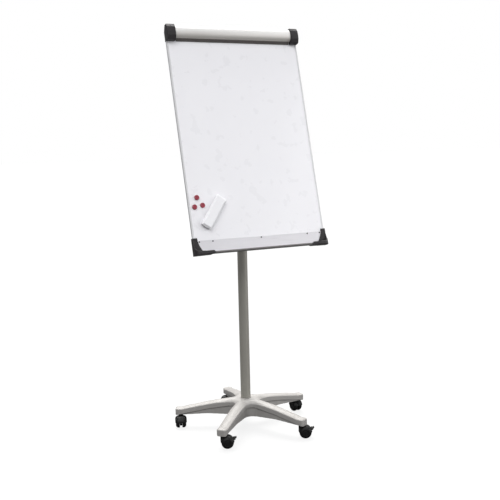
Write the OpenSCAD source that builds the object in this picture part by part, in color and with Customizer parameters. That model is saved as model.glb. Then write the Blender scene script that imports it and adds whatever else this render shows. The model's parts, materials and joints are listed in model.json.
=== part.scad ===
// Mobile flipchart easel: star base on castors, telescopic column, tilting board,
// hinged paper clamp and pen tray. Millimetres. The column stands on the Z axis,
// the floor is z = 0 and the board faces -Y.

/* [Star base] */
// Distance from the column to each castor stem
stem_ring = 339; // [300:1:360]
// Direction of the rear right arm, the others follow every 72 degrees
first_arm = 9.2; // [0:0.1:71]
// Half width of an arm at its rounded end
arm_end_r = 25; // [20:1:30]
// Half width of an arm at the hub
arm_root_half = 31; // [26:1:36]
// Height of the hub's top above the floor
hub_top = 149; // [125:1:160]
// Height of an arm's top at its end
arm_end_top = 103; // [90:1:110]
// Height of an arm's underside at its end
arm_end_under = 64.5; // [64:0.5:70]

/* [Castors] */
// Radius of each wheel
wheel_r = 30; // [25:0.5:32]
// Width of each wheel
wheel_w = 20.5; // [14:0.5:22]
// Space between the two wheels of a castor
wheel_gap = 12.6; // [12:0.2:18]
// Distance from the stem back to the axle
castor_trail = 21; // [15:1:26]

/* [Column] */
// Outer radius of the fixed tube
outer_tube_r = 25; // [20:0.5:30]
// Outer radius of the sliding tube
inner_tube_r = 20; // [16:0.5:22]
// Wall thickness of both tubes
tube_wall = 2; // [1.5:0.1:3]
// Height of the fixed tube's top
outer_tube_top = 1095; // [900:5:1150]
// Height of the tilt axis with the mast fully raised
tilt_z = 1540; // [1480:5:1560]

/* [Board] */
// Outer width of the framed board
board_w = 700; // [600:5:900]
// Length of the board from the corner caps' top edge to its top
board_up = 1012; // [900:1:1100]
// Length of the board below the corner caps' top edge
board_down = 40; // [35:1:45]
// Depth of the frame
frame_t = 12; // [12:0.5:20]
// Backward lean of the board
board_lean = 15.4; // [10:0.1:20]

/* [Clamp] */
// Depth of the clamp bar in front of the frame
clamp_depth = 32; // [28:1:48]
// Height of the clamp bar along the board
clamp_height = 65; // [60:1:90]

/* [Tray] */
// Reach of the tray in front of the frame
tray_depth = 32; // [28:1:45]

/* [Loose pieces] */
// Radius of a magnet
magnet_r = 12.3; // [10:0.1:15]
// Length of the eraser
eraser_l = 166; // [120:1:180]
// Width of the eraser
eraser_w = 50; // [40:1:60]

/* [Hidden] */
$fn = 48;

// Castors: arm number counted from the rear right, then the way the wheels trail
REAR_RIGHT = [0, 95];
REAR_LEFT = [1, 216];
LEFT = [2, 250];
FRONT = [3, 340];
RIGHT = [4, 336];

// Colours
grey_paint = [0.82, 0.81, 0.80];
column_paint = [0.60, 0.58, 0.54];
dark_plastic = [0.20, 0.19, 0.20];
black_plastic = [0.08, 0.08, 0.08];
steel = [0.72, 0.72, 0.74];
frame_metal = [0.80, 0.80, 0.82];
tray_metal = [0.86, 0.85, 0.87];
board_white = [0.95, 0.95, 0.96];
core_tan = [0.75, 0.66, 0.50];
magnet_red = [0.75, 0.10, 0.13];
felt_grey = [0.35, 0.35, 0.37];

// Running clearance on radius, and the gap kept between bodies that pass each other
fit = 0.05;
gap = 0.3;

// Star base
wall = 4;
arm_reach = stem_ring + arm_end_r;
end_corner = 13;
hub_under = 63;
arm_mid = 200;
arm_mid_under = 72;
hub_flat = 36;
arch_end = 330;
arch_power = 1.36;
band = 31;
band_mid = 98;
web_inset = 6;
web_fillet = 30;
web_pitch = (arm_root_half + web_fillet) / sin(36);
web_disc = norm([(arm_root_half + web_fillet) / tan(36), arm_root_half]);
hub_floor = 82;
hub_boss_r = 34;
socket_r = 8;
socket_boss_r = 12.5;
socket_top = arm_end_top - 8;
stem_pin_r = 5.5;
bolt_r = 5;

// Castors
axle_r = 4;
castor_web = 11.4;
castor_disc_r = 20;
wheel_round = 14.5;
wheel_core = wheel_w - wheel_round;
hood_grow = 3.2;
hood_gap = 1.2;
hood_open = 16.2;
hood_low = 32;
pedal_ring = 37;
pedal_angle = 26;
pedal_pin_r = 2;
pedal_half = 11;

// Column and height lock
collar_r = 31;
collar_low = 1045;
collar_top = 1135;
lock_z = 1115;
lock_face = 42;
pad_r = 7;
stud_r = 4;
mast_low = 620;
mast_top = 1495;
knob_r = 24;
knob_t = 20;

// Tilt joint
lug_half = 15;
lug_r = 20;
ear_t = 5;
ear_gap = 0.4;
tilt_knob_x = lug_half + ear_gap + ear_t + 3;

// Board, in board coordinates: x, y behind the frame's front, z along the board
board_off = 66.5;
board_drop = 565;
lip = 8;
skin = 1.5;
face_t = 0.4;
back_t = 0.4;
panel_back = frame_t - skin;
top_rail = 38;
rail_low = board_up - top_rail;
groove = 6;
slot_z = rail_low + 19;
half_w = board_w / 2;
bracket_z = board_drop;
bracket_w = 240;
bracket_h = 190;
bracket_t = 4;
bracket_screw_x = 100;
bracket_screw_z = 75;

// Tray profile heights along the board, below the corner caps' top edge
flange_top = -8;
tray_floor = -67;
tray_lip = -62;
tray_under = -75;
flange_t = 2;
flange_half = half_w - 4;
gutter_half = half_w - 26;
tray_screw_z = -14.5;
cap_wall = 4;
shoe_round = 26;

// Clamp
bar_half = 308.5;
bar_mid = 997.5;
bar_low = bar_mid - clamp_height / 2;
bar_power = 2.5;
bar_wall = 2.2;
pivot_y = -7;
pivot_z = 1018.5;
port_r = 6.2;
pivot_r = 4;
spring_room = 18;
peg_r = 3;
hook_x = 200;
end_wall = 1.5;

// Loose pieces
lift = 0.1;
felt_t = 6;
eraser_turn = 54;
eraser_round = 4;
eraser_lip = 3;
felt_proud = 1;

// ------------------------------------------------------------------ helpers

module place_board() {
    translate([0, 0, tilt_z]) rotate([-board_lean, 0, 0])
        translate([0, -board_off, -board_drop]) children();
}

module at_castor(castor) {
    turn = first_arm + 72 * castor[0];
    translate([stem_ring * cos(turn), stem_ring * sin(turn), 0])
        rotate([0, 0, castor[1]]) children();
}

// A round bar along X between two places
module bar_x(x0, x1, r) {
    translate([x0, 0, 0]) rotate([0, 90, 0]) cylinder(h = x1 - x0, r = r);
}

// A round bar along Y between two places
module bar_y(y0, y1, r) {
    translate([0, y1, 0]) rotate([90, 0, 0]) cylinder(h = y1 - y0, r = r);
}

// Extrudes a (y, z) outline along X between two places
module along_x(x0, x1) {
    translate([x0, 0, 0]) rotate([90, 0, 90]) linear_extrude(x1 - x0) children();
}

module tube(z0, z1, r, hole) {
    difference() {
        translate([0, 0, z0]) cylinder(h = z1 - z0, r = r);
        translate([0, 0, z0 - 1]) cylinder(h = z1 - z0 + 2, r = hole);
    }
}

module mirrored() {
    children();
    mirror([1, 0, 0]) children();
}

// ---------------------------------------------------------------- star base

// Height of the arms' top at a distance from the column: a convex arch, level at both ends
function arm_top(r) =
    let (s = max(0, min(1, (r - hub_flat) / (arch_end - hub_flat))))
    arm_end_top + (hub_top - arm_end_top) * (1 - pow(s, arch_power));

// Plan of the star, pulled in all round by inset
module star_plan(inset) {
    difference() {
        union() {
            circle(r = web_disc);
            for (k = [0:4]) rotate(first_arm + 72 * k) {
                polygon([
                    [0, -arm_root_half + inset], [arm_reach - end_corner, -arm_end_r + inset],
                    [arm_reach - end_corner, arm_end_r - inset], [0, arm_root_half - inset]
                ]);
                for (v = [-1, 1]) translate([arm_reach - end_corner, v * (arm_end_r - end_corner)])
                    circle(r = end_corner - inset);
                translate([arm_reach - 40, end_corner - arm_end_r])
                    square([40 - inset, 2 * (arm_end_r - end_corner)]);
            }
        }
        for (k = [0:4]) rotate(first_arm + 36 + 72 * k)
            translate([web_pitch, 0]) circle(r = web_fillet + inset);
    }
}

// Body of revolution under the arms' tops, over floor heights at the hub, half way and at the ends
module dome(under_hub, under_mid, under_end, drop) {
    radii = [for (k = [0:12]) hub_flat + (arm_reach + 1 - hub_flat) * k / 12];
    rotate_extrude() polygon(concat(
        [[0, under_hub], [hub_flat, under_hub], [arm_mid, under_mid], [arm_reach + 1, under_end]],
        [for (k = [12:-1:0]) [radii[k], arm_top(radii[k]) - drop]],
        [[0, hub_top - drop]]
    ));
}

module star_base() {
    color(grey_paint) difference() {
        union() {
            difference() {
                union() {
                    intersection() {
                        translate([0, 0, 50]) linear_extrude(120) star_plan(0);
                        dome(hub_top - band, band_mid, arm_end_under, 0);
                    }
                    intersection() {
                        translate([0, 0, 50]) linear_extrude(120) star_plan(web_inset);
                        dome(hub_under, arm_mid_under, arm_end_under, 5);
                    }
                }
                intersection() {
                    translate([0, 0, 40]) linear_extrude(120) star_plan(web_inset + wall);
                    dome(40, 40, 40, wall);
                }
            }
            translate([0, 0, hub_under]) cylinder(h = hub_top - hub_under, r = hub_boss_r);
            for (k = [0:4]) rotate(first_arm + 72 * k) translate([stem_ring, 0, arm_end_under])
                cylinder(h = arm_end_top - arm_end_under - 1, r = socket_boss_r);
        }
        translate([0, 0, hub_floor]) cylinder(h = 100, r = outer_tube_r + fit);
        translate([0, 0, hub_under - 1]) cylinder(h = 30, r = bolt_r + 0.5);
        for (k = [0:4]) rotate(first_arm + 72 * k) translate([stem_ring, 0, arm_end_under - 1])
            cylinder(h = socket_top - arm_end_under + 1, r = socket_r);
    }
}

// Steel sleeves pressed into the arm ends
module castor_sockets() {
    color(steel) for (k = [0:4]) rotate(first_arm + 72 * k) translate([stem_ring, 0, 0])
        tube(arm_end_under, socket_top - 2, socket_r, stem_pin_r);
}

module outer_tube() {
    color(column_paint) tube(hub_floor, outer_tube_top, outer_tube_r, outer_tube_r - tube_wall);
}

// Plug pressed in the tube's foot, threaded for the bolt from below
module column_foot() {
    color(black_plastic) tube(hub_floor, hub_floor + 32, outer_tube_r - tube_wall, bolt_r);
}

module base_bolt() {
    color(steel) {
        translate([0, 0, hub_under - 9.5]) cylinder(h = 8, r = 9.8, $fn = 6);
        translate([0, 0, hub_under - 1.5]) tube(0, 1.5, 14, bolt_r);
        translate([0, 0, hub_under - 1.5]) cylinder(h = 36, r = bolt_r);
    }
}

// ------------------------------------------------------ column and height lock

module column_collar() {
    color(dark_plastic) difference() {
        union() {
            translate([0, 0, collar_low]) cylinder(h = collar_top - collar_low, r = collar_r);
            translate([0, 0, lock_z]) bar_y(0, lock_face, 15);
        }
        translate([0, 0, collar_low - 1]) cylinder(h = outer_tube_top - collar_low + 1, r = outer_tube_r);
        translate([0, 0, collar_low]) cylinder(h = 200, r = inner_tube_r + 0.1);
        translate([0, 0, lock_z]) bar_y(0, 31, pad_r + fit);
        translate([0, 0, lock_z]) bar_y(0, 60, stud_r + fit);
    }
}

module height_pad() {
    color(steel) translate([0, 0, lock_z]) bar_y(inner_tube_r + gap, inner_tube_r + gap + 6, pad_r);
}

module height_stud() {
    color(steel) translate([0, 0, lock_z]) bar_y(inner_tube_r + gap + 6, lock_face + 12, stud_r);
}

// A scalloped hand knob along +Z, its face at z = 0, with a blind hole for its stud
module hand_knob(hole_r, hole_depth) {
    difference() {
        union() {
            cylinder(h = 6, r = 12);
            difference() {
                translate([0, 0, 5]) cylinder(h = knob_t - 5, r = knob_r);
                for (k = [0:5]) rotate(60 * k + 30) translate([knob_r + 5, 0, 4])
                    cylinder(h = knob_t, r = 10);
            }
        }
        translate([0, 0, -1]) cylinder(h = hole_depth + 1, r = hole_r);
    }
}

module height_knob() {
    color(black_plastic) translate([0, lock_face + 3, lock_z]) rotate([-90, 0, 0])
        hand_knob(stud_r, 9);
}

module inner_tube() {
    color(steel) tube(mast_low, mast_top, inner_tube_r, inner_tube_r - tube_wall);
}

module slide_bush() {
    color(black_plastic) tube(mast_low, mast_low + 40, outer_tube_r - tube_wall - fit, inner_tube_r);
}

// Casting plugged in the mast's top, with the lug that the tilt bolt goes through
module tilt_head() {
    color(dark_plastic) difference() {
        union() {
            translate([0, 0, mast_top - 30]) cylinder(h = 31, r = inner_tube_r - tube_wall);
            translate([0, 0, mast_top]) cylinder(h = 16, r = inner_tube_r + 2);
            translate([-lug_half, -lug_r, mast_top + 10])
                cube([2 * lug_half, 2 * lug_r, tilt_z - mast_top - 10]);
            translate([0, 0, tilt_z]) bar_x(-lug_half, lug_half, lug_r);
        }
        translate([0, 0, tilt_z]) bar_x(-50, 50, bolt_r);
    }
}

module tilt_bolt() {
    ear_out = lug_half + ear_gap + ear_t + ear_gap;
    color(steel) translate([0, 0, tilt_z]) {
        bar_x(-ear_out - 2, tilt_knob_x + 14, bolt_r);
        rotate([0, -90, 0]) translate([0, 0, ear_out + 1]) cylinder(h = 7, r = 9.8, $fn = 6);
        bar_x(-ear_out - 1.5, -ear_out, 11);
    }
}

module tilt_knob() {
    color(black_plastic) translate([tilt_knob_x, 0, tilt_z]) rotate([0, 90, 0])
        hand_knob(bolt_r + fit, 15);
}

// -------------------------------------------------------------------- board

module bracket_screw_places() {
    for (x = [-1, 1], z = [-1, 1])
        translate([x * bracket_screw_x, 0, bracket_z + z * bracket_screw_z]) children();
}

// Plate on the board's back with two ears around the tilt head
module board_bracket() {
    ear_in = lug_half + ear_gap;
    color(dark_plastic) place_board() difference() {
        union() {
            translate([-bracket_w / 2, frame_t, bracket_z - bracket_h / 2])
                cube([bracket_w, bracket_t, bracket_h]);
            mirrored() translate([ear_in, 0, bracket_z]) {
                translate([0, board_off, 0]) bar_x(0, ear_t, lug_r);
                translate([0, frame_t + 1, 0]) along_x(0, ear_t)
                    polygon([[0, -42], [0, 60], [board_off - frame_t, 18], [board_off - frame_t, -14]]);
            }
        }
        translate([0, board_off, bracket_z]) bar_x(-60, 60, bolt_r + fit);
        bracket_screw_places() bar_y(frame_t - 2, frame_t + 12, 3.2);
    }
}

module bracket_screws() {
    head = frame_t + bracket_t;
    color(steel) place_board() bracket_screw_places() difference() {
        union() {
            bar_y(frame_t - 8, head + 1, 3);
            bar_y(head, head + 3, 6);
        }
        bar_y(head + 1.5, head + 4, 2, $fn = 6);
    }
}

// A sheet that fills the frame's groove between two depths
module panel(y0, y1) {
    inset = skin + 0.2;
    place_board() translate([-half_w + inset, y0, -board_down + inset])
        cube([board_w - 2 * inset, y1 - y0, rail_low + groove + board_down - inset - 0.2]);
}

module board_face() {
    color(board_white) difference() {
        panel(skin, skin + face_t);
        place_board() tray_screw_shanks(0, 4);
    }
}

module board_core() {
    color(core_tan) difference() {
        panel(skin + face_t, panel_back - back_t);
        place_board() tray_screw_shanks(0, 9);
        place_board() bracket_screw_places() bar_y(frame_t - 8, frame_t, 3);
    }
}

module board_back() {
    color(steel) difference() {
        panel(panel_back - back_t, panel_back);
        place_board() bracket_screw_places() bar_y(0, frame_t + 2, 3);
    }
}

// Channel outline, its web along u = 0 and its lips along +u
module channel() {
    polygon([
        [0, 0], [lip, 0], [lip, skin], [skin, skin], [skin, frame_t - skin],
        [lip + 4, frame_t - skin], [lip + 4, frame_t], [0, frame_t]
    ]);
}

module frame_sides() {
    color(frame_metal) place_board() mirrored()
        translate([-half_w, 0, -board_down]) linear_extrude(board_up + board_down) channel();
}

module frame_bottom() {
    x = half_w - lip - 4 - 0.2;
    color(frame_metal) place_board() along_x(-x, x)
        translate([0, -board_down]) rotate(90) mirror([0, 1]) channel();
}

// Wide top rail: groove for the panel below, and a T slot for the pad hooks in front
module frame_top() {
    x = half_w - lip - 4 - 0.2;
    color(frame_metal) place_board() along_x(-x, x) difference() {
        translate([0, rail_low]) square([frame_t, top_rail]);
        translate([skin, rail_low - 1]) square([frame_t - 2 * skin, groove + 1]);
        translate([-1, slot_z - 3.4]) square([4, 6.8]);
        translate([2, slot_z - 6.4]) square([6.6, 12.8]);
    }
}

// ---------------------------------------------------------------- pen tray

// Gutter outline as (y, z): back wall, floor, front lip and underside
module gutter_outline() {
    polygon([
        [0, -50], [-flange_t, -50], [-flange_t, tray_floor + 3], [-flange_t - 3, tray_floor],
        [-tray_depth + 3.5, tray_floor], [-tray_depth + 2, tray_floor + 1.5],
        [-tray_depth + 1.5, tray_lip], [-tray_depth, tray_lip],
        [-tray_depth - 0.5, tray_under + 3], [-tray_depth + 3, tray_under], [0, tray_under]
    ]);
}

module flange_outline() {
    polygon([[0, -51], [0, flange_top], [-flange_t, flange_top - 1], [-flange_t, -51]]);
}

module tray_hollow() {
    polygon([
        [-1.8, tray_floor - 1.6], [-tray_depth + 2.6, tray_floor - 1.6],
        [-tray_depth + 1.6, tray_under + 4], [-tray_depth + 3.6, tray_under + 1.6],
        [-1.8, tray_under + 1.6]
    ]);
}

// What the tray screws take out of the parts they pass through
module tray_screw_shanks(y0, y1) {
    for (x = [-321, -252, 0, 252, 321]) translate([x, 0, tray_screw_z]) bar_y(y0, y1, 2);
}

module pen_tray() {
    color(tray_metal) place_board() difference() {
        union() {
            along_x(-gutter_half, gutter_half) difference() {
                gutter_outline();
                tray_hollow();
            }
            along_x(-flange_half, flange_half) flange_outline();
        }
        tray_screw_shanks(-5, 1);
    }
}

// Screws through the tray flange, their points in the board's core
module tray_screws() {
    color(steel) place_board() difference() {
        union() {
            tray_screw_shanks(-flange_t - 0.5, 9);
            for (x = [-321, -252, 0, 252, 321]) translate([x, 0, tray_screw_z])
                bar_y(-flange_t - 1.2, -flange_t, 3.6);
        }
        for (x = [-321, -252, 0, 252, 321]) translate([x, 0, tray_screw_z])
            bar_y(-flange_t - 3, -flange_t - 0.6, 1.6, $fn = 6);
    }
}

// Front outline (x, z) of the left corner cap: a concave inner edge down to a long toe
module corner_outline() {
    arc = [for (a = [0:5]) let (t = a / 5) [
        -half_w + 20 + 24 * pow(t, 1.7), -61 * t]];
    polygon(concat(
        [[-half_w - cap_wall, 4], [-half_w + 20, 4]], arc,
        [[-half_w + 86, tray_lip + 1], [-half_w + 95, tray_under + 3], [-half_w + 84, tray_under - 2],
         [-half_w - cap_wall, tray_under - cap_wall]]
    ));
}

// Plan (x, y) of the left corner cap, rounded at its front corner, pulled in by inset
module shoe_plan(inset) {
    side = -half_w - cap_wall + inset;
    front = -tray_depth - cap_wall + inset;
    r = shoe_round - inset;
    translate([side + r, front]) square([160, frame_t + 2 - front]);
    translate([side, front + r]) square([160, frame_t + 2 - front - r]);
    translate([side + r, front + r]) circle(r = r);
}

// Side outline (y, z) of a corner cap
module cap_side() {
    front = -tray_depth - cap_wall;
    polygon([
        [frame_t + 2, tray_under - cap_wall], [frame_t + 2, 4], [-flange_t - 3, 4],
        [-flange_t - 4, -20], [-flange_t - 10, -42], [front + 6, tray_lip + 4],
        [front, tray_lip], [front, tray_under], [front + 4, tray_under - cap_wall]
    ]);
}

module corner_cap() {
    low = tray_under - cap_wall;
    difference() {
        intersection() {
            translate([0, frame_t + 2, 0]) rotate([90, 0, 0]) linear_extrude(100) corner_outline();
            along_x(-half_w - cap_wall, 0) cap_side();
            translate([0, 0, low]) linear_extrude(120) shoe_plan(0);
        }
        // The framed board
        translate([-half_w, 0, -board_down]) cube([board_w, frame_t, 100]);
        // The tray and its flange
        along_x(-gutter_half, 0) gutter_outline();
        along_x(-flange_half, 0) flange_outline();
        // The gutter's open end
        intersection() {
            translate([0, 0, tray_floor]) linear_extrude(100) shoe_plan(cap_wall);
            translate([-half_w, -tray_depth, tray_floor]) cube([200, tray_depth - flange_t - 3, 60]);
        }
        translate([-gutter_half, -tray_depth, tray_floor]) cube([200, tray_depth - flange_t - 3, 60]);
    }
}

module corner_cap_left() {
    color(dark_plastic) place_board() corner_cap();
}

module corner_cap_right() {
    color(dark_plastic) place_board() mirror([1, 0, 0]) corner_cap();
}

// ------------------------------------------------------------------- clamp

// D-shaped outline in (y, z), curved side to -Y, grown by an amount
module hood_outline(grow) {
    depth = clamp_depth + grow;
    rise = clamp_height / 2 + grow;
    polygon([for (k = [0:24]) let (a = -90 + 180 * k / 24)
        [-depth * pow(max(0, cos(a)), 2 / bar_power),
         bar_mid + sign(a) * rise * pow(abs(sin(a)), 2 / bar_power)]]);
}

module hood_shell() {
    inner = clamp_height - 2 * bar_wall;
    difference() {
        hood_outline(0);
        hood_outline(-bar_wall);
        translate([-1, bar_mid - inner / 2]) square([2, inner]);
    }
}

module clamp_bar() {
    color(board_white) place_board() difference() {
        union() {
            along_x(-bar_half, bar_half) hood_shell();
            difference() {
                union() {
                    translate([0, pivot_y, pivot_z]) bar_x(-bar_half, bar_half, port_r);
                    along_x(-bar_half, bar_half) translate([pivot_y - 1, pivot_z]) square([2, 10]);
                }
                mirrored() translate([bar_half - spring_room, pivot_y - 8.5, pivot_z - 8.5])
                    cube([spring_room + 1, 17, 17]);
            }
        }
        translate([0, pivot_y, pivot_z]) bar_x(-400, 400, pivot_r + fit);
    }
}

// Rubber strip clipped over the clamp bar's lower edge
module clamp_jaw() {
    color(black_plastic) place_board() along_x(-bar_half + 6, bar_half - 6) difference() {
        polygon([
            [skin - gap, bar_low - 9], [skin - gap, bar_low + 3], [-14, bar_low + 3], [-14, bar_low],
            [-9, bar_low - 4], [-5, bar_low - 7], [-3, bar_low - 9]
        ]);
        hood_shell();
    }
}

// A coil along X, swept as rings of six points
module coil(r, wire, pitch, turns) {
    steps = 16;
    last = steps * turns;
    points = [for (i = [0:last], k = [0:5]) let (a = 360 * i / steps, b = 60 * k)
        [pitch * i / steps + wire * sin(b), (r + wire * cos(b)) * cos(a), (r + wire * cos(b)) * sin(a)]];
    sides = [for (i = [0:last - 1], k = [0:5]) let (n = (k + 1) % 6)
        [6 * i + k, 6 * i + n, 6 * i + 6 + n, 6 * i + 6 + k]];
    ends = [[for (k = [5:-1:0]) k], [for (k = [0:5]) 6 * last + k]];
    polyhedron(points, concat(sides, ends));
}

module clamp_springs() {
    color(steel) place_board() mirrored()
        translate([bar_half - spring_room + 3, pivot_y, pivot_z]) coil(5.6, 0.8, 2, 5);
}

// Side outline (y, z) of an end cap, faceted in front and cut back behind its top
module end_outline() {
    top = bar_mid + clamp_height / 2 + 2;
    polygon([
        [frame_t + end_wall, bar_low - 10], [frame_t + end_wall, bar_mid + 5], [-4, top],
        [7 - clamp_depth, top], [-clamp_depth - 2, top - 16], [-clamp_depth - 4, bar_mid - 5],
        [-clamp_depth - 2, bar_low + 10], [6 - clamp_depth, bar_low - 7], [14 - clamp_depth, bar_low - 10]
    ]);
}

// The hollow in front of the board, behind the end cap's walls
module end_hollow() {
    top = bar_mid + clamp_height / 2 - 1.5;
    polygon([
        [-2, bar_low - 7], [-2, top], [8 - clamp_depth, top], [1.5 - clamp_depth, top - 13],
        [-clamp_depth, bar_mid - 5], [1.5 - clamp_depth, bar_low + 12], [8 - clamp_depth, bar_low],
        [15 - clamp_depth, bar_low - 7]
    ]);
}

// Moulded end that holds the clamp's pivot pin and wraps the board's top corner
module end_cap() {
    inner = -bar_half - gap - 0.2;
    outer = -half_w - end_wall;
    translate([0, pivot_y, pivot_z]) bar_x(outer + 1, -bar_half + spring_room + 14, pivot_r);
    difference() {
        along_x(outer, inner) end_outline();
        along_x(outer + 3, inner - 3) end_hollow();
        translate([-half_w, 0, 0]) cube([board_w, frame_t, board_up]);
    }
}

module end_cap_left() {
    color(dark_plastic) place_board() end_cap();
}

module end_cap_right() {
    color(dark_plastic) place_board() mirror([1, 0, 0]) end_cap();
}

// Sliding peg for a punched pad, its foot in the top rail's T slot
module pad_hook(x) {
    place_board() translate([x, 0, slot_z]) {
        translate([-10, 2.3, -6.1]) cube([20, 6, 12.2]);
        translate([-7, -0.5, -3.1]) cube([14, 3, 6.2]);
        bar_y(-2.6, -gap, 8);
        bar_y(-14, -2.5, peg_r);
    }
}

module pad_hook_left() {
    color(black_plastic) pad_hook(-hook_x);
}

module pad_hook_right() {
    color(black_plastic) pad_hook(hook_x);
}

// ------------------------------------------------------------ loose pieces

module magnet(place) {
    color(magnet_red) place_board() translate([place[0], 0, place[1]]) difference() {
        union() {
            bar_y(skin - lift - 5.5, skin - lift, magnet_r);
            bar_y(skin - lift - 7, skin - lift - 5, magnet_r - 1.5);
        }
        bar_y(skin - lift - 8, skin - lift - 6.4, magnet_r - 4);
    }
}

module magnet_1() {
    magnet([-303, 195]);
}

module magnet_2() {
    magnet([-279, 157]);
}

module magnet_3() {
    magnet([-320, 151]);
}

// A flat shape as a slab that stands off the board face between two depths
module on_eraser(y0, y1) {
    place_board() translate([-232, y1, 120]) rotate([0, -eraser_turn, 0]) rotate([90, 0, 0])
        linear_extrude(y1 - y0) children();
}

// Long rounded outline, drawn in at its ends and along its sides
module eraser_plan(ends, sides) {
    r = eraser_round;
    a = eraser_l / 2 - ends - r;
    b = eraser_w / 2 - sides - r;
    square([2 * a + 2 * r, 2 * b], center = true);
    square([2 * a, 2 * b + 2 * r], center = true);
    for (x = [-a, a], y = [-b, b]) translate([x, y]) circle(r = r);
}

// Grip with a lip along each long side of the felt
module eraser_body() {
    base = skin - lift - felt_t;
    color(board_white) {
        on_eraser(base - 16, base) eraser_plan(0, 0);
        on_eraser(base - 21, base - 15.9) eraser_plan(4, 4);
        on_eraser(base - 0.1, base + felt_t - felt_proud) difference() {
            eraser_plan(0, 0);
            square([eraser_l + 2, eraser_w - 2 * eraser_lip], center = true);
        }
    }
}

module eraser_felt() {
    color(felt_grey) on_eraser(skin - lift - felt_t, skin - lift) eraser_plan(1.5, eraser_lip + fit);
}

// ----------------------------------------------------------------- castors

// Half section of the domed outline of a wheel, grown by an amount: radius, then
// distance from the castor's middle
module wheel_outline(grow) {
    inner = wheel_gap / 2;
    polygon(concat(
        [[0, inner], [wheel_r + grow - 1.5, inner], [wheel_r + grow, inner + 2.5]],
        [for (a = [0:15:90]) [
            wheel_r - wheel_round + (wheel_round + grow) * cos(a),
            inner + wheel_core + (wheel_round + grow) * sin(a)]],
        [[0, inner + wheel_w + grow]]
    ));
}

// Both wheels' outline and the space between them, as a solid of revolution on the axle
module on_axle() {
    translate([castor_trail, 0, wheel_r]) rotate([-90, 0, 0]) rotate_extrude() children();
}

module hood() {
    side = wheel_gap / 2 + wheel_core;
    intersection() {
        on_axle() {
            translate([0, -side]) square([wheel_r + hood_grow, 2 * side]);
            wheel_outline(hood_grow);
            mirror([0, 1]) wheel_outline(hood_grow);
        }
        translate([castor_trail - 50, -50, hood_low]) cube(100);
    }
}

// The space that both wheels sweep, with room round it and open over the wheels' middles
module wheel_room() {
    for (s = [0, 1]) mirror([0, s, 0]) on_axle() {
        wheel_outline(hood_gap);
        translate([0, castor_web / 2 + 0.6]) square([wheel_r + hood_gap, wheel_core]);
        translate([0, castor_web / 2 + 0.6]) square([hood_open, 60]);
    }
}

pedal_x = castor_trail + pedal_ring * cos(pedal_angle);
pedal_z = wheel_r + pedal_ring * sin(pedal_angle);

module housing(castor, braked) {
    color(black_plastic) at_castor(castor) difference() {
        union() {
            difference() {
                hood();
                wheel_room();
            }
            translate([castor_trail, 0, wheel_r]) bar_y(-castor_web / 2, castor_web / 2, castor_disc_r);
            translate([0, 0, 36]) cylinder(h = arm_end_under - 0.6 - 36, r = 12.5);
            if (braked) for (s = [-1, 1]) translate([pedal_x, s * (pedal_half + 2.3), pedal_z])
                bar_y(-1.8, 1.8, 5);
        }
        wheel_room();
        translate([castor_trail, 0, wheel_r]) bar_y(-30, 30, axle_r);
        cylinder(h = 100, r = stem_pin_r - fit);
        if (braked) translate([pedal_x, 0, pedal_z]) bar_y(-30, 30, pedal_pin_r);
    }
}

// Swivel stem and wheel axle, and the pedal's pin on a braked castor
module pins(castor, braked) {
    half = wheel_gap / 2 + wheel_w - 4;
    color(steel) at_castor(castor) {
        translate([0, 0, wheel_r + axle_r + 2])
            cylinder(h = socket_top - wheel_r - axle_r - 6, r = stem_pin_r - fit);
        translate([castor_trail, 0, wheel_r]) bar_y(-half, half, axle_r);
        if (braked) translate([pedal_x, 0, pedal_z])
            bar_y(-pedal_half - 4, pedal_half + 4, pedal_pin_r);
    }
}

module wheel(castor, side) {
    color(black_plastic) at_castor(castor) mirror([0, side, 0]) on_axle() difference() {
        wheel_outline(0);
        square([axle_r + fit, wheel_gap / 2 + wheel_w - 3]);
    }
}

module pedal(castor) {
    color(black_plastic) at_castor(castor) translate([pedal_x, 0, pedal_z]) difference() {
        union() {
            bar_y(-pedal_half, pedal_half, pedal_pin_r + 1.4);
            translate([0, pedal_half, 0]) rotate([90, 0, 0]) linear_extrude(2 * pedal_half)
                polygon([[0, 3.4], [4.5, 4.8], [9.5, 7.8], [11, 7.2], [10.4, 5], [5.5, 1], [0, -1]]);
        }
        bar_y(-30, 30, pedal_pin_r + fit);
    }
}

// ------------------------------------------------------------------- nodes

module rear_right_housing() housing(REAR_RIGHT, false);
module rear_right_pins() pins(REAR_RIGHT, false);
module rear_right_wheel_a() wheel(REAR_RIGHT, 0);
module rear_right_wheel_b() wheel(REAR_RIGHT, 1);
module rear_left_housing() housing(REAR_LEFT, false);
module rear_left_pins() pins(REAR_LEFT, false);
module rear_left_wheel_a() wheel(REAR_LEFT, 0);
module rear_left_wheel_b() wheel(REAR_LEFT, 1);
module left_housing() housing(LEFT, false);
module left_pins() pins(LEFT, false);
module left_wheel_a() wheel(LEFT, 0);
module left_wheel_b() wheel(LEFT, 1);
module front_housing() housing(FRONT, true);
module front_pins() pins(FRONT, true);
module front_wheel_a() wheel(FRONT, 0);
module front_wheel_b() wheel(FRONT, 1);
module right_housing() housing(RIGHT, true);
module right_pins() pins(RIGHT, true);
module right_wheel_a() wheel(RIGHT, 0);
module right_wheel_b() wheel(RIGHT, 1);
module front_pedal() pedal(FRONT);
module right_pedal() pedal(RIGHT);

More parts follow.
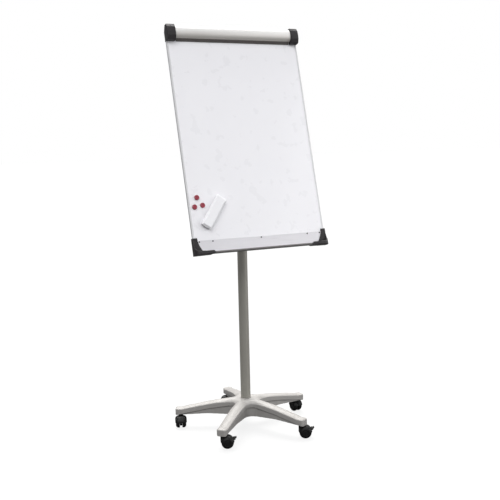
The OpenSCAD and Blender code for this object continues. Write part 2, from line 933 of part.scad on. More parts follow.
star_base();
castor_sockets();
outer_tube();
column_foot();
base_bolt();
column_collar();
height_pad();
height_stud();
height_knob();
inner_tube();
slide_bush();
tilt_head();
tilt_bolt();
tilt_knob();
board_bracket();
bracket_screws();
board_face();
board_core();
board_back();
frame_sides();
frame_top();
frame_bottom();
pen_tray();
tray_screws();
corner_cap_left();
corner_cap_right();
end_cap_left();
end_cap_right();
pad_hook_left();
pad_hook_right();
clamp_bar();
clamp_jaw();
clamp_springs();
magnet_1();
magnet_2();
magnet_3();
eraser_body();
eraser_felt();
rear_right_housing();
rear_right_pins();
rear_right_wheel_a();
rear_right_wheel_b();
rear_left_housing();
rear_left_pins();
rear_left_wheel_a();
rear_left_wheel_b();
left_housing();
left_pins();
left_wheel_a();
left_wheel_b();
front_housing();
front_pins();
front_wheel_a();
front_wheel_b();
front_pedal();
right_housing();
right_pins();
right_wheel_a();
right_wheel_b();
right_pedal();
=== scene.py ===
"""Looks of the mobile flipchart easel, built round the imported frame.

Metres. The column stands on Z, the floor is z = 0 and the board faces -Y. Places and sizes come
from the frame: joints and mounts of the record, and the CAD nodes' boxes measured in the frame
of the part that they sit on (BOARD for the leaning board, one matrix for each castor).
"""
import json
import math

import bmesh
import bpy
import numpy as np
from mathutils import Euler, Matrix, Vector


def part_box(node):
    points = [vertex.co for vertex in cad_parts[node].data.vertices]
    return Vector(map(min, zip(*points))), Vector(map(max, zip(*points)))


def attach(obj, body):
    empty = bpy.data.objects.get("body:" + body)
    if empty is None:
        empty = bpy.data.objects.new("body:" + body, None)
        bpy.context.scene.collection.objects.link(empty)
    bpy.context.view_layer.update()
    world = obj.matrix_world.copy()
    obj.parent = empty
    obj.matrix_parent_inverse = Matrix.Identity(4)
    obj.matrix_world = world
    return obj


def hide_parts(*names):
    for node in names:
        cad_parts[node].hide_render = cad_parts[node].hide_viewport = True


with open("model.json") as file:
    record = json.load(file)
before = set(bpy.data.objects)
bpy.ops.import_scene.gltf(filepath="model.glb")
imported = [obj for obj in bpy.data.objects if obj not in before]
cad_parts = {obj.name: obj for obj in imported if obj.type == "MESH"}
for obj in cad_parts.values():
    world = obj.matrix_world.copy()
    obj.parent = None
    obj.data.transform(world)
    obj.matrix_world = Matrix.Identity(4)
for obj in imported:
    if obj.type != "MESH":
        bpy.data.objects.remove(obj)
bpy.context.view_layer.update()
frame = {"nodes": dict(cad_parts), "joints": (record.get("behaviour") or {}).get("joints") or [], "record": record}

MM = 0.001
X = Vector((1, 0, 0))
TRAY_MOUNT = Vector((0, -17 * MM, -67 * MM))  # the tray_floor mount, in board coordinates
PIN_BORE = 4.05 * MM  # radius of the holes that turn on an 8 mm pin
CASTORS = ("rear_right", "rear_left", "left", "front", "right")
BRAKED = ("front", "right")
JOINTS = {joint["name"]: joint for joint in frame["joints"]}
MOUNTS = {mount["name"]: mount for mount in frame["record"]["mounts"]}
SLOTS = {part["node"]: part["material_slot"] for part in frame["record"]["subparts"]}
BODIES = {node: body for body, nodes in frame["record"]["behaviour"]["bodies"].items()
          for node in nodes}


# ------------------------------------------------------------------ places

def basis(x, y, z, origin):
    """The matrix of a part whose own axes point along x, y and z."""
    turn = Matrix((x, y, z)).transposed()
    return Matrix.Translation(origin) @ turn.to_4x4()


def board_matrix():
    """Board frame: x across, y into the board and z up along it, the origin as in the CAD."""
    up = Vector(MOUNTS["tray_floor"]["axis"]).normalized()
    inwards = -Vector(JOINTS["magnet_1_lift"]["axis"]).normalized()
    board = basis(X, inwards, up, Vector())
    return Matrix.Translation(Vector(MOUNTS["tray_floor"]["pos_m"]) - board @ TRAY_MOUNT) @ board


def castor_matrix(name):
    """Castor frame: x from the stem towards the wheels, y along the axle, z up, the floor at 0."""
    stem = Vector(JOINTS[f"{name}_swivel"]["pos_m"])
    axle = Vector(JOINTS[f"{name}_wheel_a_roll"]["axis"]).normalized()
    stem.z = 0
    return basis(axle.cross(Vector((0, 0, 1))), axle, Vector((0, 0, 1)), stem)


BOARD = board_matrix()


def local_box(node, matrix=BOARD):
    """Lowest and highest corner of a CAD node, measured in the frame of matrix."""
    inverse = matrix.inverted()
    places = [inverse @ vertex.co for vertex in frame["nodes"][node].data.vertices]
    low = Vector([min(place[i] for place in places) for i in range(3)])
    high = Vector([max(place[i] for place in places) for i in range(3)])
    return low, high


# --------------------------------------------------------------- materials

class Surface:
    """Node-tree helper round one Principled shader."""

    def __init__(self, name, colour, roughness, metallic=0.0, grain_turn=(0, 0, 0), **sockets):
        self.material = bpy.data.materials.new(name)
        self.material.use_nodes = True
        self.tree = self.material.node_tree
        self.shader = self.tree.nodes["Principled BSDF"]
        self.colour = (*colour, 1)
        self.material.diffuse_color = self.colour
        self.set(self.shader, {"Base Color": self.colour, "Roughness": roughness,
                               "Metallic": metallic, **sockets})
        self.place = self.node("ShaderNodeTexCoord").outputs["Object"]
        self.grain_turn = grain_turn
        self.bumps = []

    def set(self, node, values):
        for name, value in values.items():
            node.inputs[name].default_value = value

    def node(self, kind, inputs=None, **settings):
        node = self.tree.nodes.new(kind)
        for name, value in settings.items():
            setattr(node, name, value)
        for name, value in (inputs or {}).items():
            if isinstance(value, bpy.types.NodeSocket):
                self.tree.links.new(value, node.inputs[name])
            else:
                node.inputs[name].default_value = value
        return node

    def noise(self, scale, detail=3.0, stretch=(1, 1, 1), distortion=0.0):
        """Noise with about scale features a metre, stretched along the piece's own axes."""
        turned = self.node("ShaderNodeMapping", {
            "Vector": self.place, "Rotation": self.grain_turn, "Scale": stretch}, vector_type="POINT")
        noise = self.node("ShaderNodeTexNoise", {
            "Vector": turned.outputs[0], "Scale": scale, "Detail": detail, "Distortion": distortion})
        return noise.outputs[0]

    def ranged(self, value, low, high, start=0.3, stop=0.7):
        """value from start..stop brought to low..high."""
        node = self.node("ShaderNodeMapRange", {
            "Value": value, "From Min": start, "From Max": stop, "To Min": low, "To Max": high})
        return node.outputs[0]

    def tint(self, share, colour):
        """The base colour goes over to colour where share is 1."""
        socket = self.shader.inputs["Base Color"]
        mix = self.node("ShaderNodeMix", data_type="RGBA")
        factor, first, second = mix.inputs[0], mix.inputs[6], mix.inputs[7]
        if socket.is_linked:
            self.tree.links.new(socket.links[0].from_socket, first)
        else:
            first.default_value = self.colour
        self.tree.links.new(share, factor)
        second.default_value = (*colour, 1)
        self.tree.links.new(mix.outputs[2], socket)
        return self

    def roughen(self, share, low, high):
        """Roughness runs from low to high with a noise."""
        self.tree.links.new(self.ranged(share, low, high), self.shader.inputs["Roughness"])
        return self

    def bump(self, height, depth, strength=1.0):
        """Adds a bump of depth metres."""
        inputs = {"Height": height, "Distance": depth, "Strength": strength}
        if self.bumps:
            inputs["Normal"] = self.bumps[-1].outputs[0]
        self.bumps.append(self.node("ShaderNodeBump", inputs))
        self.tree.links.new(self.bumps[-1].outputs[0], self.shader.inputs["Normal"])
        return self

    def patchy(self, share, scale, detail, low):
        """share, broken up by a noise that runs from low to 1."""
        both = self.node("ShaderNodeMath", operation="MULTIPLY")
        self.tree.links.new(share, both.inputs[0])
        self.tree.links.new(self.ranged(self.noise(scale, detail), low, 1), both.inputs[1])
        return both.outputs[0]

    def edges(self, colour, start, stop, amount):
        """Wear: convex edges go over to colour, broken up by a noise."""
        pointed = self.node("ShaderNodeNewGeometry").outputs["Pointiness"]
        edge = self.ranged(pointed, 0, amount, start, stop)
        return self.tint(self.patchy(edge, 60, 4, 0.2), colour)

    def dust(self, colour, amount, start=0.55, stop=1.0):
        """Faces that look up gather a patchy film of dust."""
        normal = self.node("ShaderNodeNewGeometry").outputs["Normal"]
        up = self.node("ShaderNodeSeparateXYZ", {"Vector": normal}).outputs["Z"]
        film = self.ranged(up, 0, amount, start, stop)
        return self.tint(self.patchy(film, 18, 5, 0.35), colour)


def moulded(name, colour, darker, roughness, grain, depth, **sockets):
    """Moulded plastic: cloudy tone, fine sparked texture, patchy gloss."""
    surface = Surface(name, colour, roughness, **sockets)
    surface.tint(surface.ranged(surface.noise(14, 4), 0, 1, 0.35, 0.75), darker)
    surface.roughen(surface.noise(35, 5), roughness - 0.07, roughness + 0.09)
    return surface.bump(surface.noise(grain, 2), depth)


def painted(name, colour, darker, roughness, peel, depth, **sockets):
    """Paint or powder coat: orange peel, slow drift of tone and gloss."""
    surface = Surface(name, colour, roughness, **sockets)
    surface.tint(surface.ranged(surface.noise(6, 3), 0, 1, 0.3, 0.8), darker)
    surface.roughen(surface.noise(22, 4), roughness - 0.05, roughness + 0.07)
    return surface.bump(surface.noise(peel, 1), depth)


def drawn(name, colour, darker, roughness, stretch, depth, turn=(0, 0, 0), metallic=1.0):
    """Drawn or brushed metal: fine lines along the grain, with faint wider streaks."""
    surface = Surface(name, colour, roughness, metallic, turn)
    surface.tint(surface.ranged(surface.noise(40, 4, stretch), 0, 1, 0.3, 0.8), darker)
    surface.roughen(surface.noise(220, 3, stretch), roughness - 0.08, roughness + 0.10)
    return surface.bump(surface.noise(900, 2, stretch), depth)


LEAN = Euler((-BOARD.to_euler().x, 0, 0))
ALONG_X, ALONG_Z = (0.02, 1, 1), (1, 1, 0.02)


def board_enamel():
    surface = painted("board_enamel", (0.90, 0.895, 0.92), (0.885, 0.88, 0.905), 0.30, 260, 0.00002,
                      **{"Coat Weight": 0.4, "Coat Roughness": 0.12})
    wiped = surface.ranged(surface.noise(5, 6, (1, 1, 0.35), 1.0), 0, 0.10, 0.45, 0.85)
    return surface.tint(wiped, (0.85, 0.85, 0.88))


def board_core():
    surface = Surface("board_core", (0.50, 0.38, 0.24), 0.9)
    surface.tint(surface.ranged(surface.noise(500, 5), 0, 1), (0.34, 0.25, 0.15))
    return surface.bump(surface.noise(900, 4), 0.0003)


def galvanised_sheet():
    surface = Surface("galvanised_sheet", (0.60, 0.61, 0.63), 0.42, metallic=1.0)
    spangle = surface.node("ShaderNodeTexVoronoi", {"Vector": surface.place, "Scale": 90.0})
    surface.tint(surface.ranged(spangle.outputs["Color"], 0, 1, 0.1, 0.9), (0.42, 0.43, 0.45))
    surface.roughen(surface.noise(60, 4), 0.34, 0.5)
    return surface.bump(surface.noise(300, 3), 0.00005)


def above(surface, low, high):
    """0 below low and 1 above high, heights measured along the leaning board."""
    up = BOARD.col[2].to_3d()
    height = surface.node("ShaderNodeVectorMath", {0: surface.place, 1: up},
                          operation="DOT_PRODUCT")
    zero = BOARD.translation.dot(up)
    return surface.ranged(height.outputs["Value"], 0, 1, zero + low, zero + high)


TRAY_PAINTED_SHADE = -0.0665, -0.0655  # board heights between which the painted shade on the tray's front edge gives way to the silver
CLAMP_PAINTED_LIGHT = 0.008, 0.012  # the painted light on the enamel starts above the bar's foot and stops below its top


def tray_aluminium():
    """Brushed aluminium, its front edge below the lip darkened with painted shade."""
    # the dark base colour is painted shade on the front edge below the lip; above it the tint brings back the
    # silver
    surface = drawn("tray_aluminium", (0.17, 0.163, 0.16), (0.15, 0.143, 0.14), 0.42, ALONG_X,
                    0.00002, LEAN, 0.30)
    return surface.tint(above(surface, *TRAY_PAINTED_SHADE), (0.71, 0.70, 0.725))


def clamp_enamel():
    """Satin silver enamel with painted light and shade: grey at the clamp's lower edge, paling to near white at
    its shoulder.
    """
    low, high = local_box("clamp_bar")
    # the grey base colour is painted shade at the bar's lower edge
    surface = painted("clamp_enamel", (0.56, 0.535, 0.505), (0.54, 0.515, 0.485), 0.42, 350,
                      0.00003, metallic=0.15)
    painted_light = above(surface, low.z + CLAMP_PAINTED_LIGHT[0], high.z - CLAMP_PAINTED_LIGHT[1])
    # the near-white tint is painted light towards the bar's shoulder
    return surface.tint(painted_light, (0.92, 0.91, 0.895))


def eraser_felt():
    surface = Surface("eraser_felt", (0.06, 0.06, 0.065), 0.95, **{"Sheen Weight": 0.2})
    surface.tint(surface.ranged(surface.noise(700, 6), 0, 1), (0.11, 0.11, 0.12))
    return surface.bump(surface.noise(1400, 5), 0.0006)


def jaw_rubber():
    surface = moulded("jaw_rubber", (0.105, 0.095, 0.089), (0.120, 0.109, 0.102), 0.72, 1500, 0.00006)
    return surface.dust((0.12, 0.115, 0.11), 0.3)


SURFACES = {
    "base_plastic": moulded(
        "base_plastic", (0.335, 0.323, 0.31), (0.31, 0.298, 0.285), 0.50, 1700, 0.00005
    ).edges((0.46, 0.445, 0.43), 0.52, 0.62, 0.5),
    "column_paint": painted(
        "column_paint", (0.335, 0.322, 0.288), (0.31, 0.298, 0.267), 0.38, 420, 0.00003,
        metallic=0.25
    ).edges((0.46, 0.45, 0.43), 0.55, 0.65, 0.5),
    "bare_steel": drawn(
        "bare_steel", (0.60, 0.60, 0.61), (0.48, 0.48, 0.50), 0.28, ALONG_Z, 0.00002),
    "dark_plastic": moulded(
        "dark_plastic", (0.021, 0.018, 0.020), (0.030, 0.027, 0.029), 0.46, 1500, 0.00007,
        **{"Specular IOR Level": 0.3}
    ).edges((0.09, 0.085, 0.085), 0.53, 0.65, 0.8),
    "black_plastic": moulded(
        "black_plastic", (0.004, 0.004, 0.004), (0.007, 0.007, 0.007), 0.50, 1600, 0.00006,
        **{"Specular IOR Level": 0.25}
    ).edges((0.05, 0.05, 0.05), 0.53, 0.65, 0.7),
    "bracket_paint": painted(
        "bracket_paint", (0.030, 0.030, 0.032), (0.038, 0.038, 0.040), 0.45, 700, 0.00005),
    "board_enamel": board_enamel(),
    "board_core": board_core(),
    "galvanised_sheet": galvanised_sheet(),
    "frame_aluminium": drawn(
        "frame_aluminium", (0.68, 0.68, 0.69), (0.62, 0.62, 0.63), 0.40, ALONG_Z, 0.00002,
        LEAN, 0.35),
    "tray_aluminium": tray_aluminium(),
    "clamp_enamel": clamp_enamel(),
    "jaw_rubber": jaw_rubber(),
    "magnet_plastic": moulded(
        "magnet_plastic", (0.30, 0.020, 0.042), (0.26, 0.016, 0.034), 0.34, 900, 0.00003,
        **{"Coat Weight": 0.3, "Coat Roughness": 0.1}),
    "eraser_plastic": moulded(
        "eraser_plastic", (0.90, 0.90, 0.92), (0.87, 0.87, 0.89), 0.42, 1200, 0.00005
    ).edges((0.93, 0.93, 0.94), 0.53, 0.62, 0.6),
    "eraser_felt": eraser_felt(),
}
TOP_RAIL = drawn("top_rail", (0.68, 0.68, 0.69), (0.62, 0.62, 0.63), 0.40, ALONG_X, 0.00002,
                 LEAN, 0.35)
BLACKENED = drawn("blackened_steel", (0.05, 0.05, 0.052), (0.035, 0.035, 0.037), 0.40, ALONG_X,
                  0.00002, LEAN, 0.5)


# ------------------------------------------------------------------ shapes

def baked(mesh, *modifiers):
    """The mesh after a chain of (kind, settings) modifiers."""
    holder = bpy.data.objects.new("holder", mesh)
    bpy.context.scene.collection.objects.link(holder)
    for kind, settings in modifiers:
        modifier = holder.modifiers.new(kind, kind)
        for name, value in settings.items():
            setattr(modifier, name, value)
    view = bpy.context.evaluated_depsgraph_get()
    result = bpy.data.meshes.new_from_object(holder.evaluated_get(view))
    bpy.data.objects.remove(holder)
    return result


def weld():
    return "WELD", {"merge_threshold": 1e-6}


def bevel(width, segments=2, angle=30):
    return "BEVEL", {"width": width, "segments": segments, "limit_method": "ANGLE",
                     "angle_limit": math.radians(angle), "harden_normals": False}


def softened(node, voxel, rounds):
    """A copy of a CAD node's mesh, remeshed in cells of voxel, with its edges worn round."""
    return baked(
        frame["nodes"][node].data.copy(), weld(),
        ("REMESH", {"mode": "VOXEL", "voxel_size": voxel, "use_smooth_shade": True}),
        ("SMOOTH", {"factor": 0.5, "iterations": rounds}))


def piece(name, mesh, slot, body, *nodes):
    """Puts a mesh in the scene as a piece that rides on a body and stands for CAD nodes."""
    obj = bpy.data.objects.new(name, mesh)
    bpy.context.scene.collection.objects.link(obj)
    mesh.materials.clear()
    mesh.materials.append(SURFACES[slot].material)
    mesh.polygons.foreach_set("use_smooth", [True] * len(mesh.polygons))
    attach(obj, body)
    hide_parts(*nodes)
    return obj


def rounded(points, steps=5):
    """A closed outline of (u, v, radius) corners, each radius turned into a smooth arc.

    No arc reaches the middle of an edge, so neighbouring arcs don't meet.
    """
    outline = []
    for i, (u, v, radius) in enumerate(points):
        corner = Vector((u, v))
        before = Vector(points[i - 1][:2]) - corner
        after = Vector(points[(i + 1) % len(points)][:2]) - corner
        if not radius:
            outline.append(corner)
            continue
        start = corner + before.normalized() * min(radius, before.length / 2.01)
        stop = corner + after.normalized() * min(radius, after.length / 2.01)
        for k in range(steps + 1):
            t = k / steps
            outline.append(start * (1 - t) ** 2 + corner * 2 * t * (1 - t) + stop * t * t)
    return outline


def to_mesh(name, build):
    """A mesh made by a function that fills a bmesh, its doubles merged and faces turned out."""
    bm = bmesh.new()
    build(bm)
    bmesh.ops.remove_doubles(bm, verts=bm.verts, dist=1e-7)
    bmesh.ops.recalc_face_normals(bm, faces=bm.faces)
    mesh = bpy.data.meshes.new(name)
    bm.to_mesh(mesh)
    bm.free()
    return mesh


def lathe(bm, outline, matrix, segments=96):
    """A closed (radius, height) outline turned about the z axis of matrix."""
    rings = []
    for k in range(segments):
        turn = 2 * math.pi * k / segments
        rings.append([bm.verts.new(matrix @ Vector((r * math.cos(turn), r * math.sin(turn), z)))
                      for r, z in outline])
    for k, ring in enumerate(rings):
        following = rings[(k + 1) % segments]
        for i in range(len(ring)):
            j = (i + 1) % len(ring)
            if max(outline[i][0], outline[j][0]) > 1e-6:
                bm.faces.new((ring[i], following[i], following[j], ring[j]))


def prism(bm, outline, x0, x1, matrix):
    """A closed (y, z) outline extruded along the x axis of matrix."""
    ends = [[bm.verts.new(matrix @ Vector((x, y, z))) for y, z in outline] for x in (x0, x1)]
    for i in range(len(outline)):
        j = (i + 1) % len(outline)
        bm.faces.new((ends[0][i], ends[0][j], ends[1][j], ends[1][i]))
    bm.faces.new(ends[0])
    bm.faces.new(reversed(ends[1]))


def turned(name, outline, matrix, slot, body, *nodes, segments=96):
    """A piece turned about the z axis of matrix from a closed outline."""
    mesh = to_mesh(name, lambda bm: lathe(bm, outline, matrix, segments))
    return piece(name, mesh, slot, body, *nodes)


def along(origin, axis):
    """A matrix at origin whose z axis points along axis."""
    axis = Vector(axis).normalized()
    side = axis.orthogonal().normalized()
    return basis(side, axis.cross(side), axis, Vector(origin))


def dressed(node, width=0.0003, material=None):
    """A CAD node kept as it is, with a real material and its sharp edges eased."""
    obj = frame["nodes"][node]
    obj.data.materials.clear()
    obj.data.materials.append(material or SURFACES[SLOTS[node]].material)
    obj.data.polygons.foreach_set("use_smooth", [True] * len(obj.data.polygons))
    for kind, settings in (weld(), bevel(width)):
        modifier = obj.modifiers.new(kind, kind)
        for name, value in settings.items():
            setattr(modifier, name, value)
    obj.modifiers.new("normals", "WEIGHTED_NORMAL").keep_sharp = True
    return obj


def soft_piece(node, voxel, rounds):
    """A softened copy stands for the CAD node."""
    return piece(f"{node}_shape", softened(node, voxel, rounds), SLOTS[node], BODIES[node], node)


# --------------------------------------------------------------- star base

HUB_FLAT, ARCH_END, ARCH_POWER, ARCH_RINGS = 0.036, 0.330, 1.36, 12
ARM_ROOT_HALF, ARM_END_HALF, END_CORNER = 0.031, 0.025, 0.013
WEB_FILLET, WEB_BLEND, ARM_END_TOP = 0.030, 0.012, 0.103
CROWN, HUB_CROWN, CROWN_REACH = 0.007, 0.013, 0.026
CROWN_LIMIT = 1.15  # just outside the outline the crown falls a little further
CROWN_START, CROWN_STOP = 0.08, 0.15  # radii between which the hub's crown goes over to the arms'
SKIN_DEPTH, SKIN_BLEND = 0.028, 0.020  # the top moves down to this depth, fading over the blend
ARCH_PAST = 1 * MM  # the CAD's arch runs on past the arms' ends
STAR_CELL, STAR_ROUNDS = 0.0016, 7
FIFTH = 2 * math.pi / 5


def first_arm():
    """Direction of the rear right arm."""
    stem = JOINTS["rear_right_swivel"]["pos_m"]
    return math.atan2(stem[1], stem[0])


def arm_top(radius, hub_top):
    """Height of the arms' top at a distance from the column: a convex arch, level at both ends."""
    share = np.clip((radius - HUB_FLAT) / (ARCH_END - HUB_FLAT), 0, 1)
    return ARM_END_TOP + (hub_top - ARM_END_TOP) * (1 - share ** ARCH_POWER)


def star_depth(u, v, reach):
    """How far inside the star's plan outline a point is, u along the nearest arm, v across it."""
    half = ARM_ROOT_HALF + (ARM_END_HALF - ARM_ROOT_HALF) * u / (reach - END_CORNER)
    past, aside = u - reach + END_CORNER, v - ARM_END_HALF + END_CORNER
    corner = END_CORNER - np.hypot(past, aside)
    arm = np.where((past > 0) & (aside > 0), corner, np.minimum(half - v, reach - u))
    pitch = (ARM_ROOT_HALF + WEB_FILLET) / math.sin(FIFTH / 2)
    centre = pitch * math.cos(FIFTH / 2), pitch * math.sin(FIFTH / 2)
    web = np.hypot(u - centre[0], v - centre[1]) - WEB_FILLET
    share = np.clip((u - centre[0] + WEB_BLEND) / (2 * WEB_BLEND), 0, 1)
    return web + (arm - web) * share


def star_base():
    """The star with crowned arms: the CAD shape, its faceted top laid on the true arch."""
    mesh = softened("star_base", STAR_CELL, STAR_ROUNDS)
    stem = Vector(JOINTS["rear_right_swivel"]["pos_m"])
    reach = math.hypot(stem.x, stem.y) + ARM_END_HALF
    hub_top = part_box("star_base")[1].z
    co = np.zeros(len(mesh.vertices) * 3)
    mesh.vertices.foreach_get("co", co)
    co = co.reshape(-1, 3)
    radius = np.hypot(co[:, 0], co[:, 1])
    turn = (np.arctan2(co[:, 1], co[:, 0]) - first_arm() + FIFTH / 2) % FIFTH - FIFTH / 2
    u, v = radius * np.cos(turn), np.abs(radius * np.sin(turn))
    knots = HUB_FLAT + (reach + ARCH_PAST - HUB_FLAT) * np.arange(ARCH_RINGS + 1) / ARCH_RINGS
    top = arm_top(radius, hub_top)
    facet = np.where(radius < HUB_FLAT, hub_top, np.interp(radius, knots, arm_top(knots, hub_top)))
    crown = np.interp(radius, (CROWN_START, CROWN_STOP), (HUB_CROWN, CROWN))
    drop = crown * np.clip(1 - star_depth(u, v, reach) / CROWN_REACH, 0, CROWN_LIMIT) ** 2
    near_top = np.clip((co[:, 2] - top + SKIN_DEPTH) / SKIN_BLEND, 0, 1)
    co[:, 2] += near_top ** 2 * (3 - 2 * near_top) * (top - facet - drop)
    mesh.vertices.foreach_set("co", co.ravel())
    piece("star_base_shape", mesh, "base_plastic", "base", "star_base")


# ------------------------------------------------------------------ column

TUBE_WALL = 0.002


def sleeve_outline(inner, outer, z0, z1, edge):
    """Half section of a tube whose edges are rounded by edge."""
    return rounded([(inner, z0, edge), (outer, z0, edge), (outer, z1, edge), (inner, z1, edge)], 3)


def column():
    """Both tubes, and the height lock and tilt joint on them."""
    for node, body in (("outer_tube", "base"), ("inner_tube", "mast")):
        low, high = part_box(node)
        outline = sleeve_outline(high.x - TUBE_WALL, high.x, low.z, high.z, 0.0006)
        turned(f"{node}_shape", outline, Matrix(), SLOTS[node], body, node, segments=128)
    soft_piece("column_collar", 0.0010, 5)
    soft_piece("tilt_head", 0.0010, 5)
    for node in ("height_knob", "tilt_knob"):
        soft_piece(node, 0.0007, 5)
    for node in ("castor_sockets", "column_foot", "base_bolt", "height_pad", "height_stud",
                 "slide_bush", "tilt_bolt", "board_bracket", "bracket_screws"):
        dressed(node)


# ------------------------------------------------------------------- board

def board():
    """The sandwich, its frame, the tray and the caps, and the two sliding pad hooks."""
    dressed("board_face", 0.0001)
    dressed("board_core", 0.0003)
    dressed("board_back", 0.0001)
    dressed("frame_sides", 0.0005)
    dressed("frame_top", 0.0005, TOP_RAIL.material)
    dressed("frame_bottom", 0.0005, TOP_RAIL.material)
    dressed("pen_tray", 0.0004)
    dressed("tray_screws", 0.0003, BLACKENED.material)
    for node in ("corner_cap_left", "corner_cap_right", "end_cap_left", "end_cap_right"):
        soft_piece(node, 0.0009, 5)
    for node in ("pad_hook_left", "pad_hook_right"):
        soft_piece(node, 0.0005, 4)


# ------------------------------------------------------------------- clamp

BAR_POWER, BAR_WALL, SPRING_ROOM = 2.5, 0.0022, 0.018
TUBE_R, RIB_HALF, RIB_RISE = 0.0062, 0.001, 0.010


def hood_arc(depth, half, middle, steps=72):
    """The D-shaped front of the clamp bar in (y, z), from its lower edge to its upper one."""
    points = []
    for k in range(steps + 1):
        turn = -math.pi / 2 + math.pi * k / steps
        bulge, rise = max(0.0, math.cos(turn)), math.sin(turn)
        points.append((-depth * bulge ** (2 / BAR_POWER),
                       middle + math.copysign(half * abs(rise) ** (2 / BAR_POWER), rise)))
    return points


def clamp():
    """The convex bar with its pivot tube and rib, the rubber jaw and the springs."""
    low, high = local_box("clamp_bar")
    top = local_box("board_face")[1].z
    pin = BOARD.inverted() @ Vector(JOINTS["clamp_lift"]["pos_m"])
    middle, half = (low.z + high.z) / 2, (high.z - low.z) / 2
    outer = hood_arc(-low.y, half, middle)
    inner = hood_arc(-low.y - BAR_WALL, half - BAR_WALL, middle)
    end = high.x - SPRING_ROOM

    def build(bm):
        prism(bm, outer + inner[::-1], low.x, high.x, BOARD)
        foot, rise = pin.z + TUBE_R - RIB_HALF, pin.z + RIB_RISE
        rib = [(pin.y - RIB_HALF, foot), (pin.y + RIB_HALF, foot),
               (pin.y + RIB_HALF, rise), (pin.y - RIB_HALF, rise)]
        prism(bm, rib, -end, end, BOARD)
        tube = sleeve_outline(PIN_BORE, TUBE_R, -end, end, 0.0004)
        lathe(bm, tube, BOARD @ along(pin, X), 48)

    mesh = baked(to_mesh("clamp_bar_shape", build), bevel(0.0005, 3, 50))
    piece("clamp_bar_shape", mesh, "clamp_enamel", "clamp", "clamp_bar")
    dressed("clamp_jaw", 0.0006)
    dressed("clamp_springs", 0.0001)


# ------------------------------------------------------------ loose pieces

def magnets():
    """Three round magnets, each with a dished face and a rounded rim."""
    for k in (1, 2, 3):
        low, high = local_box(f"magnet_{k}")
        r, t = (high.x - low.x) / 2, high.y - low.y
        outline = rounded([
            (0, 0, 0), (r - 0.0006, 0, 0.0004), (r, 0.0012, 0.0006), (r, t * 0.62, 0.001),
            (r - 0.0016, t, 0.0012), (r - 0.0034, t, 0.0008), (r - 0.0046, t - 0.0007, 0.0006),
            (0, t - 0.0004, 0)], 5)
        foot = BOARD @ Vector(((low.x + high.x) / 2, high.y, (low.z + high.z) / 2))
        turned(f"magnet_{k}_shape", outline, along(foot, -BOARD.col[1].to_3d()),
               "magnet_plastic", f"magnet_{k}", f"magnet_{k}")


def eraser():
    """The grip and its felt."""
    soft_piece("eraser_body", 0.0012, 8)
    soft_piece("eraser_felt", 0.0009, 3)


# ----------------------------------------------------------------- castors

WHEEL_ROUND = 0.0145
SEAM, SEAM_DEPTH = 48, 0.0005  # a fine groove at this many degrees round the dome


def wheel_outline(r, width):
    """Outline of a domed castor wheel as (radius, distance from its inner face).

    The inner face has a hub ring, a recessed web and a rim; the outer one a ring round its cap.
    """
    middle, core = r - WHEEL_ROUND, width - WHEEL_ROUND
    arc = []
    for degrees in (-20, -9, 2, 14, 26, 38, 46, SEAM, 50, 58, 66, 74, 82, 89):
        turn = math.radians(degrees)
        size = WHEEL_ROUND - (SEAM_DEPTH if degrees == SEAM else 0)
        arc.append((middle + size * math.cos(turn), core + size * math.sin(turn), 0.0003))
    inner = [(PIN_BORE, 0.0002, 0.0003), (0.009, 0.0002, 0.0006), (0.0105, 0.0028, 0.0008),
             (r - 0.0080, 0.0028, 0.0008), (r - 0.0065, 0.0001, 0.0006),
             (r - 0.0018, 0.0001, 0.0006)]
    hub = [(middle - 0.0012, width, 0.0004), (middle - 0.0018, width - 0.0009, 0.0004),
           (middle - 0.0034, width - 0.0009, 0.0004), (middle - 0.0042, width - 0.0002, 0.0006),
           (0.0030, width - 0.0001, 0.0010), (0, width - 0.0004, 0)]
    return rounded(inner + arc + hub + [(0, width - 0.003, 0), (PIN_BORE, width - 0.003, 0.0003)], 3)


def castor(name):
    """Housing, pins, two wheels and, on the braked ones, the pedal."""
    matrix = castor_matrix(name)
    soft_piece(f"{name}_housing", 0.0008, 5)
    dressed(f"{name}_pins", 0.0004)
    for side in "ab":
        node = f"{name}_wheel_{side}"
        low, high = local_box(node, matrix)
        sign = 1 if high.y > 0 else -1
        centre = Vector(((low.x + high.x) / 2, min(abs(low.y), abs(high.y)) * sign,
                         (low.z + high.z) / 2))
        axle = matrix @ along(centre, (0, sign, 0))
        outline = wheel_outline((high.x - low.x) / 2, high.y - low.y)
        turned(f"{node}_shape", outline, axle, "black_plastic", node, node)
    if name in BRAKED:
        soft_piece(f"{name}_pedal", 0.0004, 4)


# ------------------------------------------------------- floor, light, view

PHOTO_POSITION = Vector((-1.7534, -3.7301, 1.4613))
PHOTO_YAW, PHOTO_PITCH, PHOTO_ROLL = 25.73, 7.59, -1.36
LENS, SENSOR = 59.47, 36.0
FLOOR_GLOW, FLOOR_SEEN = 0.84, 0.10


def to_the_eye(tree, seen, lit):
    """A value or colour that is seen where the camera looks straight at it, and lit elsewhere."""
    ray = tree.nodes.new("ShaderNodeLightPath").outputs["Is Camera Ray"]
    mix = tree.nodes.new("ShaderNodeMix")
    mix.data_type = "RGBA"
    tree.links.new(ray, mix.inputs[0])
    mix.inputs[6].default_value = (*lit, 1)
    mix.inputs[7].default_value = (*seen, 1)
    return mix.outputs[2]


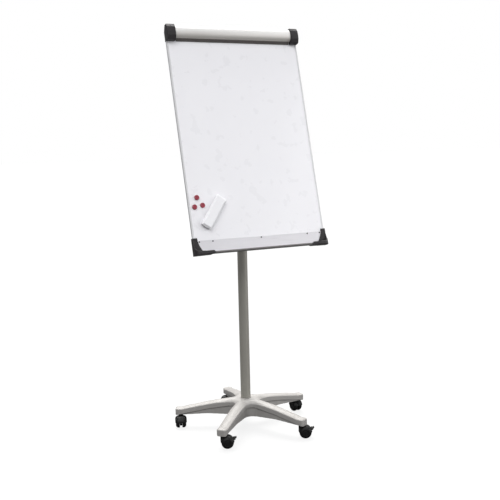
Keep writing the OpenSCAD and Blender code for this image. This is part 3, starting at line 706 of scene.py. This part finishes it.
def floor():
    """A pale floor that throws only a little light back up at the easel."""
    size = 60.0
    mesh = to_mesh("floor", lambda bm: bmesh.ops.create_grid(
        bm, x_segments=8, y_segments=8, size=size))
    obj = bpy.data.objects.new("floor", mesh)
    bpy.context.scene.collection.objects.link(obj)
    surface = Surface("floor", (0.9, 0.9, 0.9), 0.9, **{"Specular IOR Level": 0.0})
    colour = to_the_eye(surface.tree, (FLOOR_SEEN,) * 3, (0.12, 0.12, 0.12))
    surface.tree.links.new(colour, surface.shader.inputs["Base Color"])
    surface.roughen(surface.noise(3, 3), 0.85, 0.95)
    surface.tree.links.new(to_the_eye(surface.tree, (FLOOR_GLOW,) * 3, (0, 0, 0)),
                           surface.shader.inputs["Emission Color"])
    surface.shader.inputs["Emission Strength"].default_value = 1.0
    mesh.materials.append(surface.material)


def soft_sun(name, towards, energy, angle, colour):
    """A sun that stands towards a direction and is angle degrees wide."""
    sun = bpy.data.lights.new(name, "SUN")
    sun.energy, sun.angle, sun.color = energy, math.radians(angle), colour
    obj = bpy.data.objects.new(name, sun)
    obj.rotation_euler = Vector(towards).to_track_quat("Z", "Y").to_euler()
    bpy.context.scene.collection.objects.link(obj)


def lights():
    """A wide overhead light a little behind the board, two softer ones in front, a dim studio."""
    world = bpy.data.worlds.new("studio")
    world.use_nodes = True
    background = world.node_tree.nodes["Background"]
    seen = to_the_eye(world.node_tree, (1, 1, 1), (0.36, 0.365, 0.38))
    world.node_tree.links.new(seen, background.inputs["Color"])
    bpy.context.scene.world = world
    soft_sun("overhead", (0.14, 0.44, 0.88), 5.2, 50, (1.0, 0.99, 0.97))
    soft_sun("front_left", (-0.40, -0.60, 0.69), 1.45, 40, (1.0, 1.0, 1.0))
    soft_sun("front_right", (0.82, -0.52, 0.14), 1.7, 60, (1.0, 1.0, 1.0))


def camera():
    """The view of the photo, fitted to points of the easel."""
    data = bpy.data.cameras.new("camera")
    data.lens, data.sensor_width = LENS, SENSOR
    data.clip_end = 200
    obj = bpy.data.objects.new("camera", data)
    level = Matrix.Rotation(-math.radians(PHOTO_YAW), 4, "Z")
    tilt = Matrix.Rotation(math.radians(90 - PHOTO_PITCH), 4, "X")
    roll = Matrix.Rotation(math.radians(PHOTO_ROLL), 4, "Z")
    obj.matrix_world = Matrix.Translation(PHOTO_POSITION) @ level @ tilt @ roll
    bpy.context.scene.collection.objects.link(obj)
    bpy.context.scene.camera = obj
    bpy.context.scene.view_settings.view_transform = "Standard"


star_base()
column()
board()
clamp()
magnets()
eraser()
for castor_name in CASTORS:
    castor(castor_name)
floor()
lights()
camera()
